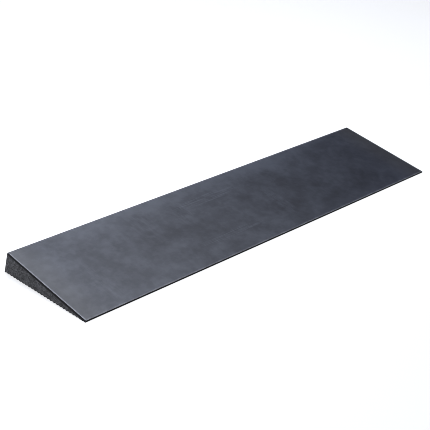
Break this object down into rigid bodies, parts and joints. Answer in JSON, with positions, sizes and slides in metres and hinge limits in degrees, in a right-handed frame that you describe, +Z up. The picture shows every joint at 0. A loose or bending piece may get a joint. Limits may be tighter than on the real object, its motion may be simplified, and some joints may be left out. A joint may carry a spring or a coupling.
{
  "type": "portable wheelchair threshold ramp",
  "caption": "Low solid rubber wedge ramp with a smooth sloping top, a thin blunt toe, a raked back face and lengthwise grip ribs underneath.",
  "frame": {"origin": "on the floor, under the middle of the base's length and depth", "axes": "+X along the doorway, +Y from the toe towards the tall back, +Z up"},
  "size_m": [0.914, 0.213, 0.038],
  "materials": {
    "core_rubber": "matt moulded rubber with a fine open grain",
    "sheet_rubber": "smooth satin rubber, faintly mottled and scuffed along its length"
  },
  "bodies": {
    "root": {"wedge_core": "core_rubber", "top_sheet": "sheet_rubber"}
  },
  "joints": []
}
